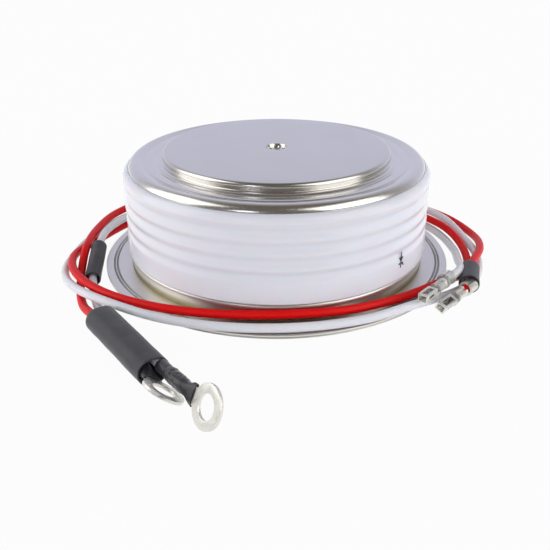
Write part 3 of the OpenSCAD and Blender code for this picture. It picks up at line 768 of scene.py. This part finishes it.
def makeTerminals():
    # tubes brazed through the ring's rear side, each with its pin
    size, out = terminals, ring["radius"]
    inner, outer = ring["bore"] - size["tubeInside"], out + size["tubeOut"]
    root, tip = ring["bore"] + size["pinRoot"], outer + size["free"]
    tubeR, pinR, shankR = size["tube"] / 2, size["pin"] / 2, size["shank"] / 2
    boreR, chamfer, neck = tubeR - size["wall"], size["chamfer"], outer - size["neck"]
    tubeOutline = roundedLine([(boreR, inner), (tubeR, inner), (tubeR, outer - chamfer),
                               (tubeR - chamfer, outer), (shankR, outer)], size["tubeBend"], 4)
    tubeOutline += [(shankR, neck), (boreR, neck)]
    pinOutline = roundedLine([(shankR, root), (shankR, outer), (pinR, outer),
                              (pinR, tip - size["pinPoint"]), (pinR - chamfer, tip), (0, tip)],
                             size["pinBend"], 5)
    outlines = {
        "Tube": (tubeOutline, "plainNickel", "nickel_plate"),
        "Pin": ([(0, root)] + pinOutline, "gold", "gold_plate"),
        "Braze": (stepsFrom(tubeR, out, size["fillet"]), "braze", "nickel_plate"),
    }
    for name, angle in zip(("gate", "cathode"), size["angles"]):
        place = (Matrix.Translation((0, 0, size["height"])) @ Matrix.Rotation(radians(angle), 4, "Z")
                 @ Matrix.Rotation(pi / 2, 4, "Y"))
        for part, (outline, finish, slot) in outlines.items():
            nodes = [] if part == "Braze" else [name + "_" + part.lower()]
            placePiece(spinOutline(outline, 64), name + part, finish, slot, nodes, place)


flanges = {
    "rim": radiusOf("lower_flange"),
    "thickness": 0.5,
    "thinThickness": 0.4,
    "bore": 28.0,
    "seam": 0.2,
    "weldInsets": (2.3, 1.7),
    "weldWidth": 0.44,
    "weldDepth": 0.42,
    "weldFloor": 0.6,  # share of the groove's width that its floor has
    "weldBend": 0.04,
    "rimBend": (0.12, 0.08),  # of the lower and of the thinner sheet
}
upperFlange = {
    "belowFace": 1.6,
    "poleSteps": [(0, 0), (0.9, 0), (1.4, -0.35), (2.2, -0.2)],
    "lipSteps": [(-4.65, -0.2), (-4.35, -0.4), (-3.05, 0), (-2.9, 0)],  # from the ring's side
    "bend": 0.45,
    "lipRadius": 1.85,
    "lipInset": 0.08,
    "poleFillet": [(-0.02, -0.03), (-0.02, 0.16), (0.05, 0.06), (0.18, -0.03)],
    "ringFillet": [(-0.02, -0.02), (-0.02, 0.05), (0.03, 0.03), (0.1, -0.02)],
}
lowerFlange = {
    "innerGap": 0.2,
    "collar": 0.3,  # the brazed seat's upper and lower edge, in from the ring's side
    "throat": 0.95,
    "bend": 0.32,
    "edge": 0.6,
    "fillet": [(-0.3, 0.02), (0.06, 0.02), (0.1, -0.03), (-0.3, -0.02)],
}
poleFlange = {
    "humpStart": [(0, 0), (1.4, 0), (2, 1.2)],  # from the pole
    "humpEnd": [(-0.9, 1.2), (-0.2, 0)],  # from the lower flange's bore
    "bend": 0.45,
    "edge": 0.2,
    "pinch": 1.1,
}


def weldGrooves(z, depth):
    # section of the two weld grooves, walked outwards along a flat face
    line, half, bend = [], flanges["weldWidth"] / 2, flanges["weldBend"]
    floor, mouth = half * flanges["weldFloor"], half + 1.5 * bend
    steps = [(-mouth, 0), (-half, 0), (-floor, -depth), (floor, -depth), (half, 0), (mouth, 0)]
    for inset in flanges["weldInsets"]:
        line += roundedLine(stepsFrom(flanges["rim"] - inset, z, steps), bend, 3)
    return line


def makeUpperFlange():
    size, start, thick = upperFlange, poles["radius"], flanges["thinThickness"]
    z = topOf("cathode_pole") - size["belowFace"] - thick / 2
    line = roundedLine(stepsFrom(start, z, size["poleSteps"])
                       + stepsFrom(ring["radius"], z, size["lipSteps"]), size["bend"])
    crown, bend = ring["radius"] + size["lipSteps"][-1][0], size["lipRadius"] - thick / 2
    line += [Vector(point) for point in arcPoints(crown, z - bend, bend, 90, 10, 16)[1:]]
    left, right = sheetSides(line, thick)
    piece = spinOutline(left + right)
    placePiece(piece, "upperFlange", "upperNickel", "flange_plate", ["upper_flange"])
    # braze fillets where the sheet meets the pole and the ring
    side = crown + size["lipRadius"] - size["lipInset"]
    inner = spinOutline(stepsFrom(start, z + thick / 2, size["poleFillet"]))
    outer = spinOutline(stepsFrom(side, ring["high"], size["ringFillet"]))
    placePiece(joinPieces([inner, outer]), "upperBraze", "upperNickel", "flange_plate")


def makeLowerFlange():
    # the sheet steps up to the brazed seat, whose wall leans in under the ring
    size, rim, thick, seam = lowerFlange, flanges["rim"], flanges["thickness"], flanges["seam"]
    seat, under = ring["low"] - thick / 2, bottomOf("lower_flange")
    flat, upper = under + thick / 2, under + thick
    line = roundedLine([(flanges["bore"] + size["innerGap"], seat),
                        (ring["radius"] - size["collar"], seat),
                        (ring["radius"] - size["throat"], flat), (rim, flat)], size["bend"], 8)
    left, right = sheetSides(line, thick)
    edge = roundedLine([(rim - size["edge"], upper), (rim, upper), (rim, under + seam),
                        (rim - seam, under)], flanges["rimBend"][0], 4)
    piece = spinOutline(left[:-1] + weldGrooves(upper, flanges["weldDepth"]) + edge + right[1:])
    placePiece(piece, "lowerFlange", "lowerNickel", "flange_plate", ["lower_flange"])
    fillet = spinOutline(stepsFrom(ring["radius"] - ring["foot"], ring["low"], size["fillet"]))
    placePiece(fillet, "lowerBraze", "braze", "flange_plate")


def makePoleFlange():
    # a thinner sheet with a hump round the pole, welded under the lower flange at the rim
    size, rim, thick, seam = poleFlange, flanges["rim"], flanges["thinThickness"], flanges["seam"]
    joint = bottomOf("lower_flange")
    z, below = joint - thick / 2, joint - thick
    line = roundedLine(stepsFrom(poles["radius"], z, size["humpStart"])
                       + stepsFrom(flanges["bore"], z, size["humpEnd"]) + [(rim, z)], size["bend"], 8)
    left, right = sheetSides(line, thick)
    edge = roundedLine([(rim - seam, joint), (rim, joint - seam * 0.6), (rim, joint - size["edge"]),
                        (rim - size["pinch"], below)], flanges["rimBend"][1], 4)
    grooves = [(p.x, 2 * below - p.y) for p in weldGrooves(below, flanges["weldDepth"] / 2)][::-1]
    piece = spinOutline(left[:-1] + edge + grooves + right[1:])
    placePiece(piece, "poleFlange", "plainNickel", "flange_plate", ["pole_flange"])


# Printed symbol on the ring: a plain triangle, bar and gate stroke

symbol = {"azimuth": 48.5, "height": 10.0, "size": 3.4, "line": 0.32, "lift": 0.015, "ink": 0.03}


def makeSymbol():
    size, width = symbol["size"], symbol["line"]
    strokes = [
        [(-width / 2, -size / 2), (width / 2, -size / 2), (width / 2, size / 2), (-width / 2, size / 2)],
        [(-0.75, 0.55), (0.75, 0.55), (0, -0.6)],
        [(-0.75, -0.6), (0.75, -0.6), (0.75, -0.6 - width), (-0.75, -0.6 - width)],
        [(0.1, -0.7), (0.85, -1.45), (1.05, -1.25), (0.4, -0.6)],
    ]
    pieces = []
    for stroke in strokes:
        bpy.ops.mesh.primitive_circle_add(vertices=len(stroke), fill_type="NGON")
        flat = bpy.context.object
        for corner, (x, z) in zip(flat.data.vertices, stroke):
            corner.co = (x, z, 0)
        openMesh()
        bpy.ops.mesh.normals_make_consistent(inside=False)
        bpy.ops.mesh.subdivide(number_cuts=3)
        bpy.ops.object.mode_set(mode="OBJECT")
        pieces.append(flat)
    mark = joinPieces(pieces)
    radius = ring["radius"] + symbol["lift"]
    for corner in mark.data.vertices:
        angle = radians(symbol["azimuth"]) + corner.co.x / radius
        corner.co = (radius * sin(angle), -radius * cos(angle), symbol["height"] + corner.co.y)
    applyModifier(mark, "SOLIDIFY", thickness=symbol["ink"], offset=0)
    placePiece(mark, "printedSymbol", "ink", "glazed_ceramic")


makePoles()
makeUpperFlange()
makeLowerFlange()
makePoleFlange()
makeCeramicRing()
makeTerminals()
makeSymbol()
print("housing made")

# Sleeves

sleeves = {
    "wall": 0.25,
    "edge": 0.06,
    "ringSpacing": 0.35,
    "ripple": (0.8, 0.22),  # a noise's scale across a sleeve and along it
    "fineRipple": (3, 1.1),
    "bundle": {"width": 5.9, "height": 4.9, "length": 21.4, "start": (-32.3, -30.4, 2.5),
               "heading": (0.578, -0.816, 0), "wave": 0.03, "seed": 2.0},
    "lead": {"diameter": 3.25, "shorter": 1.3, "longer": 0, "aside": 0, "wave": 0.03, "seed": 7.0},
    "receptacle": {"diameter": 4.0, "shorter": 2.8, "longer": 1.5, "aside": -0.6, "wave": 0.02,
                   "seed": 11.0},
}


def rippleAt(x, y, z, scales, seed):
    # how far a sleeve's skin is out of true at a place
    across, along = scales
    return noise.noise(Vector((y * across, z * across, x * along + seed)))


def makeSleeve(name, node, length, halfWidth, halfHeight, place, look):
    # a shrunk tube: slightly uneven round and along, and flatter where it holds two leads
    along = max(24, round(length / sleeves["ringSpacing"]))
    wave, seed = look["wave"], look["seed"]

    def pointAt(u, v):
        turn = 2 * pi * u
        x, y, z = length * v, cos(turn), sin(turn)
        ripple = rippleAt(x, y, z, sleeves["ripple"], seed)
        fine = rippleAt(x, y, z, sleeves["fineRipple"], seed)
        grown = 1 + wave * ripple + wave * 0.3 * fine
        flat = (halfWidth - halfHeight) * max(-1, min(1, 3 * y))
        return Vector((x, flat + halfHeight * y * grown, halfHeight * z * grown))

    tube = rollSheet(56, along, pointAt)
    applyModifier(tube, "SOLIDIFY", thickness=sleeves["wall"], offset=-1)
    bevelEdges(tube, sleeves["edge"], 60)
    return placePiece(tube, name, "sleeve", "black_sleeve", [node], place, 50)


def coverLeg(name, node, first, last, fit):
    # a round sleeve over one leg of a lead
    first, last, aside = Vector(first), Vector(last), Vector((fit["aside"], 0, 0))
    heading, half = (last - first).normalized(), fit["diameter"] / 2
    first, last = first + heading * fit["shorter"] + aside, last + heading * fit["longer"] + aside
    return makeSleeve(name, node, (last - first).length, half, half,
                      lineFrame(first - (last - first), first), fit)


def coverBundle(name, node, fit):
    start, heading = Vector(fit["start"]), Vector(fit["heading"])
    return makeSleeve(name, node, fit["length"], fit["width"] / 2, fit["height"] / 2,
                      lineFrame(start - heading, start), fit)


bundleSleeve = coverBundle("bundleSleeve", "bundle_sleeve", sleeves["bundle"])
leadSleeve = coverLeg("leadSleeve", "lead_sleeve", gateRoute[35], gateRoute[36], sleeves["lead"])
receptacleSleeve = coverLeg("receptacleSleeve", "receptacle_sleeve", cathodeRoute[2], cathodeRoute[1],
                            sleeves["receptacle"])
print("sleeves made")

# Ring terminals and their sleeves

ringTerminal = {
    "ring": 7.2,
    "hole": 4.1,
    "thickness": 0.55,
    "edge": 0.05,
    "barrel": 2.0,
    "barrelLength": 3.6,
    "crimpDepth": 0.45,
    "crimpSpread": 0.7,
    "waist": 0.8,
    "neckWidth": 3.0,
    "neckEnd": 6.7,
    "neckLap": (0.4, 0.2),  # how far tongue and barrel run into each other
    "reach": 11.0,
    "gateRoll": 65.5,
    "cathodeRoll": -36.5,
}
ringSleeve = {
    "tail": 3.6,
    "end": 7.3,
    "gap": 0.05,
    "wall": 0.25,
    "step": -0.3,  # behind the barrel it draws in to the lead
    "stepLength": 0.15,
    "bump": 0.34,
    "bumpAt": 1.6,
    "bumpLength": 1.6,
    "flare": 0.12,
    "flareStart": 5.8,
    "flareLength": 1.5,
    "crinkle": 0.1,
    "crinkleScales": (2.2, 1.6),
}


def neckShape(x, neckEnd):
    # how far the barrel has flattened into the tongue at x, and how much the waist draws it in
    start = ringTerminal["barrelLength"]
    share = max(0, min(1, (x - start) / (neckEnd - start)))
    share = share * share * (3 - 2 * share)
    return share, 1 - (1 - ringTerminal["waist"]) * 4 * share * (1 - share)


def makeRingTerminal(name, node, place):
    size = ringTerminal
    half, reach, past = size["thickness"] / 2, size["reach"], meshing["past"]
    bpy.ops.mesh.primitive_cylinder_add(vertices=96, radius=size["ring"] / 2, depth=size["thickness"],
                                        location=(reach, 0, 0))
    eye = bpy.context.object
    bpy.ops.object.transform_apply()
    bpy.ops.mesh.primitive_cylinder_add(vertices=72, radius=size["hole"] / 2, depth=2 * past,
                                        location=(reach, 0, 0))
    hole = bpy.context.object
    tongue = addBlock((size["neckEnd"] - size["neckLap"][0], -size["neckWidth"] / 2, -half),
                      (reach - size["ring"] / 4, size["neckWidth"] / 2, half))
    applyModifier(eye, "BOOLEAN", operation="UNION", object=tongue, solver="EXACT")
    bpy.data.objects.remove(tongue)
    cutWith(eye, hole)
    neck = size["neckEnd"] + size["neckLap"][1]

    def pointAt(u, v):
        turn, x = 2 * pi * u, neck * v
        share, pinch = neckShape(x, neck)
        wide = (size["barrel"] / 2 * (1 - share) + size["neckWidth"] / 2 * share) * pinch
        high = size["barrel"] / 2 * (1 - share) + half * share
        crimp = (exp(-((x - size["barrelLength"] / 2) / size["crimpSpread"]) ** 2)
                 * max(0, sin(turn)) ** 3)
        return Vector((x, wide * cos(turn), (high - size["crimpDepth"] * crimp) * sin(turn)))

    barrel = rollSheet(40, 36, pointAt)
    closeEnds(barrel)
    bevelEdges(eye, size["edge"], 40)
    return placePiece(joinPieces([eye, barrel]), name, "tin", "tin_plate", [node], place)


def makeRingSleeve(name, node, place, seed):
    # shrunk over lead, barrel and neck: it bulges over the crimp, draws in behind it and flares
    # to a straight cut at the ring
    term, size = ringTerminal, ringSleeve
    skin = size["gap"] + size["wall"]
    rearR, barrelR = lead["diameter"] / 2 + skin, term["barrel"] / 2 + skin
    neckHalf, flatHalf = term["neckWidth"] / 2 + skin, term["thickness"] / 2 + skin
    length = size["tail"] + size["end"]

    def pointAt(u, v):
        turn, x = 2 * pi * u, -size["tail"] + length * v
        y, z = cos(turn), sin(turn)
        onBarrel = 1 / (1 + exp((size["step"] - x) / size["stepLength"]))
        radius = rearR + (barrelR - rearR) * onBarrel
        share, pinch = neckShape(x, term["neckEnd"])
        flare = size["flare"] * max(0, (x - size["flareStart"]) / size["flareLength"])
        wide = (radius * (1 - share) + neckHalf * share) * pinch + flare
        high = radius * (1 - share) + flatHalf * share
        crinkle = rippleAt(x, y, z, size["crinkleScales"], seed)
        near = exp(-((x - size["bumpAt"]) / size["bumpLength"]) ** 2)
        grown = 1 + size["crinkle"] * crinkle * (0.25 + near)
        bump = size["bump"] * near * max(0, sin(turn + 0.5)) ** 2
        return Vector((x, wide * y * grown, (high + bump) * z * grown))

    tube = rollSheet(56, 64, pointAt)
    applyModifier(tube, "SOLIDIFY", thickness=size["wall"], offset=-1)
    return placePiece(tube, name, "thinSleeve", "black_sleeve", [node], place, 50)


gateRingPlace = lineFrame(gateRoute[-2], gateRoute[-1], ringTerminal["gateRoll"])
cathodeRingPlace = lineFrame(cathodeRoute[-2], cathodeRoute[-1], ringTerminal["cathodeRoll"])
gateRing = makeRingTerminal("gateRingTerminal", "gate_ring_terminal", gateRingPlace)
cathodeRing = makeRingTerminal("cathodeRingTerminal", "cathode_ring_terminal", cathodeRingPlace)
gateRingSleeve = makeRingSleeve("gateRingSleeve", "gate_ring_sleeve", gateRingPlace, 3.0)
cathodeRingSleeve = makeRingSleeve("cathodeRingSleeve", "cathode_ring_sleeve", cathodeRingPlace, 9.0)
print("ring terminals made")

# Pin receptacles, folded from sheet

receptacle = {
    "sheet": 0.3,
    "barrelInner": 1.8,
    "barrelOuter": 2.7,
    "barrelStart": -3.2,
    "barrelEnd": -0.5,
    "barrelGap": 3,  # degrees to each side of the top
    "barrelFlare": 0.12,
    "floor": -1.35,
    "spine": 1.2,
    "crimp": 2.0,
    "crimpEnd": 3.0,
    "crimpFlare": 0.14,
    "crimpValley": 0.45,
    "valleyWidth": 0.22,
    "spineReach": 0.3,
    "wingReach": 0.2,
    "foldEdge": 0.07,
    "boxStart": 4.0,
    "mouth": 8.4,
    "boxWidth": 2.0,
    "boxHeight": 1.7,
    "boxEdge": 0.12,
    "slotHalf": 0.55,
    "slotEnd": 0.6,
    "window": (1.3, 3.3),
    "sill": 0.6,
    "lintel": 0.5,
    "leafHalf": 0.64,
    "leafBow": 0.25,
    "strand": 0.3,
    "strandRing": 0.33,
    "strandReach": (-0.9, 0.4),
    "cathodeRoll": -25,
    "cathodeTurn": -7,  # it sits a little askew on its lead
}


def crimpBarrel(size):
    # a rolled barrel whose two ears leave a gap at the top
    start, end, outer, inner = (size[key] for key in ("barrelStart", "barrelEnd", "barrelOuter",
                                                      "barrelInner"))
    sweep, middle = pi - radians(size["barrelGap"]), (outer + inner) / 4

    def pointAt(u, v):
        turn = -pi / 2 + (2 * u - 1) * sweep
        radius = middle + size["barrelFlare"] * abs(2 * v - 1) ** 3
        return Vector((start + (end - start) * v, radius * cos(turn), radius * sin(turn)))

    barrel = rollSheet(40, 12, pointAt)
    applyModifier(barrel, "SOLIDIFY", thickness=(outer - inner) / 2, offset=0)
    return barrel


def conductorCrimp(size):
    # closed barrel pressed to two rounded lobes with a valley between them
    base, radius = size["floor"], size["crimp"] / 2

    def pointAt(u, v):
        turn = 2 * pi * u
        bell = size["crimpFlare"] * max(0, abs(2 * v - 1) - 0.7) / 0.3
        y, z = cos(turn), sin(turn)
        valley = size["crimpValley"] * exp(-(y / size["valleyWidth"]) ** 2) * (z > 0)
        return Vector((size["crimpEnd"] * v, (radius + bell) * y * 1.05,
                       base + radius + (radius * 0.98 + bell) * z - valley))

    crimp = rollSheet(48, 16, pointAt)
    closeEnds(crimp)
    return crimp


def socketBox(size):
    # a folded box, open at both ends, with a slot in its roof and a window in each side
    sheet, start, mouth, past = size["sheet"], size["boxStart"], size["mouth"], meshing["past"]
    half, low, high = size["boxWidth"] / 2, size["floor"], size["floor"] + size["boxHeight"]
    slot, end = size["slotHalf"], size["slotEnd"]
    first, last = (start + place for place in size["window"])
    box = addBlock((start, -half, low), (mouth, half, high))
    cutWith(box, addBlock((start - past, -half + sheet, low + sheet),
                          (mouth + past, half - sheet, high - sheet)))
    cutWith(box, addBlock((start + end, -slot, high - end), (mouth - end, slot, high + past)))
    cutWith(box, addBlock((first, -half - past, low + size["sill"]),
                          (last, half + past, high - size["lintel"])))
    bevelEdges(box, size["boxEdge"], 40, 3)
    return box


def contactLeaf(size, side):
    # a leaf spring that bows towards the pin
    sheet = size["sheet"]
    start, end = size["boxStart"] + sheet, size["mouth"] - size["slotEnd"]
    low, high = size["floor"] + sheet - 0.02, size["floor"] + size["boxHeight"] - sheet - size["lintel"]

    def pointAt(u, v):
        bow = size["leafBow"] * sin(pi * v)
        return Vector((start + (end - start) * v, side * (size["leafHalf"] - bow),
                       low + (high - low) * u))

    leaf = rollSheet(6, 20, pointAt)
    applyModifier(leaf, "SOLIDIFY", thickness=sheet * 0.7, offset=0)
    return leaf


def makeReceptacle(name, node, place):
    size = receptacle
    half, thick, spine, floor = size["crimp"] / 2, size["sheet"] / 2, size["spine"] / 2, size["floor"]
    folded = [addBlock((size["barrelStart"] + size["spineReach"], -spine, floor),
                       (size["boxStart"] + size["spineReach"], spine, floor + size["sheet"])),
              conductorCrimp(size)]
    # a low wing at each side joins the crimp to the box
    first, last = size["crimpEnd"] - size["wingReach"], size["boxStart"] + size["wingReach"]
    folded += [addBlock((first, side * half - thick, floor),
                        (last, side * half + thick, floor + size["boxHeight"] / 2)) for side in (-1, 1)]
    for part in folded:
        bevelEdges(part, size["foldEdge"], 50)
    parts = [crimpBarrel(size)] + folded + [socketBox(size)]
    parts += [contactLeaf(size, side) for side in (-1, 1)]
    # bare strands between the two crimps
    turns = [k * pi / 3 for k in range(6)]
    strands = [(0, 0)] + [(size["strandRing"] * cos(turn), size["strandRing"] * sin(turn))
                          for turn in turns]
    parts += [addRod(size["strand"], *size["strandReach"], 12, y, z) for y, z in strands]
    return placePiece(joinPieces(parts), name, "tin", "tin_plate", [node], place)


gateReceptacle = makeReceptacle("gateReceptacle", "gate_receptacle",
                                lineFrame(gateRoute[1], gateRoute[0]))
cathodeReceptacle = makeReceptacle("cathodeReceptacle", "cathode_receptacle",
                                   lineFrame(cathodeRoute[1], cathodeRoute[0], receptacle["cathodeRoll"])
                                   @ Matrix.Rotation(radians(receptacle["cathodeTurn"]), 4, "Z"))
print("receptacles made")

# The leads are loose cords: each lies round the disc and leans on it at its receptacle's end

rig.cord(gateLead, exit=gateLine[0], length=gateLength, diameter=lead["diameter"] * mm,
        far_end="fitting", stiffness="limp", lay="loose", path=gateLine,
        with_pieces=[gateReceptacle, leadSleeve, bundleSleeve, gateRing, gateRingSleeve])
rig.cord(cathodeLead, exit=cathodeLine[0], length=cathodeLength, diameter=lead["diameter"] * mm,
        far_end="fitting", stiffness="limp", lay="loose", path=cathodeLine,
        with_pieces=[cathodeReceptacle, receptacleSleeve, cathodeRing, cathodeRingSleeve])

# Inner pieces keep their own shapes

innerFinishes = {
    "silicon_wafer": "silicon",
    "wafer_edge_coat": "edgeRubber",
    "anode_disc": "molybdenum",
    "cathode_disc": "molybdenum",
    "centering_ring": "ivory",
    "gate_contact": "gold",
    "gate_spring": "springWire",
    "gate_insulator": "ivory",
    "inner_gate_lead": "tin",
    "inner_lead_sleeve": "ivory",
    "inner_cathode_lead": "tin",
}
for node, finish in innerFinishes.items():
    for holder in frame["nodes"][node].material_slots:
        holder.material = finishes[finish]

# Floor, lamps and surroundings

floorLook = {"size": 6.0, "colour": "#E2E2E2", "roughness": 0.9, "whiteShare": 0.95}


def makeFloor():
    bpy.ops.mesh.primitive_plane_add(size=floorLook["size"])
    floor = bpy.context.object
    floor.name = "floor"
    # Matt white paper: diffuse, and mostly shown as plain white to the camera and in mirrors
    material, add, _ = startMaterial("whitePaper")
    paper = add("BsdfPrincipled", {"Base Color": hexColour(floorLook["colour"]),
                                   "Roughness": floorLook["roughness"]})
    white = add("Emission", {"Color": (1, 1, 1, 1), "Strength": 1})
    rays = add("LightPath").outputs
    direct = add("Math", {0: rays["Is Camera Ray"], 1: rays["Is Glossy Ray"]}, operation="MAXIMUM")
    shown = add("Math", {0: direct, 1: rays["Is Transmission Ray"]}, operation="MAXIMUM")
    share = add("Math", {0: shown, 1: floorLook["whiteShare"]}, operation="MULTIPLY")
    mixed = add("MixShader", {0: share, 1: paper, 2: white})
    add("OutputMaterial", {"Surface": mixed})
    floor.data.materials.append(material)
    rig.stage(floor)


lampDistance = 0.42
# azimuth is counted from the front to the right
lamps = [
    {"name": "leftSoftbox", "azimuth": -86, "elevation": 34, "width": 0.33, "height": 0.42, "power": 0.8,
     "tint": "#FFFEFB"},
    {"name": "rightSoftbox", "azimuth": 61, "elevation": 34, "width": 0.38, "height": 0.42, "power": 0.9,
     "tint": "#FFFEFB"},
    {"name": "windowPane", "azimuth": -23, "elevation": 26, "width": 0.08, "height": 0.09, "power": 0.1,
     "tint": "#F1F0FF"},
]


def addLamp(name, azimuth, elevation, width, height, power, tint):
    side, lift = radians(azimuth), radians(elevation)
    place = lampDistance * Vector((sin(side) * cos(lift), -cos(side) * cos(lift), sin(lift)))
    bpy.ops.object.light_add(type="AREA", location=place,
                             rotation=(-place).to_track_quat("-Z", "Y").to_euler())
    light = bpy.context.object
    light.name = name
    light.data.shape = "RECTANGLE"
    light.data.size = width
    light.data.size_y = height
    light.data.energy = power
    light.data.color = hexColour(tint)[:3]
    light.visible_diffuse = False  # the lamps are there for the metal and the glaze


surroundings = {
    "backdrop": (0, 0.944, -0.330),
    "spread": 0.6,
    "mirrored": [(0, "#645D56"), (0.4, "#696360"), (0.7, "#ABA9AA"), (1, "#D9DAF0")],
    "soft": "#FAFAFF",
    "walls": 1.9,
    "ceiling": 0.1,
    "strip": 7,
    "stripTop": 0.3,
    "stripFocus": 4,
}


def makeSurroundings():
    # White to the camera; what metal and glaze mirror is white behind and darkens to the front
    look = surroundings
    world = bpy.data.worlds.new("studio")
    bpy.context.scene.world = world
    world.use_nodes = True
    world.node_tree.nodes.clear()
    add = partial(addNode, world.node_tree)
    rays = add("LightPath").outputs
    toward = add("TexCoord").outputs["Generated"]
    # how far a direction points to the backdrop: the ceiling and the front stay dark
    backward = add("VectorMath", {0: toward, 1: look["backdrop"]}, operation="DOT_PRODUCT")
    shade = add("MapRange", {"Value": backward, "From Min": -look["spread"],
                             "From Max": look["spread"]})
    room = add("ValToRGB", {"Fac": shade}, look["mirrored"])
    mirrored = add("Background", {"Color": room})
    # soft light: bright walls all round, a low strip at each side and a dim ceiling
    parts = add("SeparateXYZ", {0: toward}).outputs
    low = add("MapRange", {"Value": parts["Z"], "To Min": look["walls"], "To Max": look["ceiling"]})
    aside = add("Math", {0: parts["X"]}, operation="ABSOLUTE")
    ends = add("Math", {0: aside, 1: look["stripFocus"]}, operation="POWER")
    strip = add("MapRange", {"Value": parts["Z"], "From Max": look["stripTop"], "To Min": look["strip"],
                             "To Max": 0})
    both = add("Math", {0: strip, 1: ends}, operation="MULTIPLY")
    level = add("Math", {0: low, 1: both})
    soft = add("Background", {"Color": hexColour(look["soft"]), "Strength": level})
    white = add("Background", {"Color": (1, 1, 1, 1)})
    lit = add("MixShader", {0: rays["Is Glossy Ray"], 1: soft, 2: mirrored})
    seen = add("MixShader", {0: rays["Is Camera Ray"], 1: lit, 2: white})
    add("OutputWorld", {"Surface": seen})


makeFloor()
for lamp in lamps:
    addLamp(**lamp)
makeSurroundings()
bpy.context.scene.view_settings.view_transform = "Standard"
print("stage made")

sizes = {"cad": [list(corner) for corner in cadBounds], "visual": [list(corner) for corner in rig.bounds()]}
with open("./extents.json", "w") as out:
    json.dump(sizes, out)
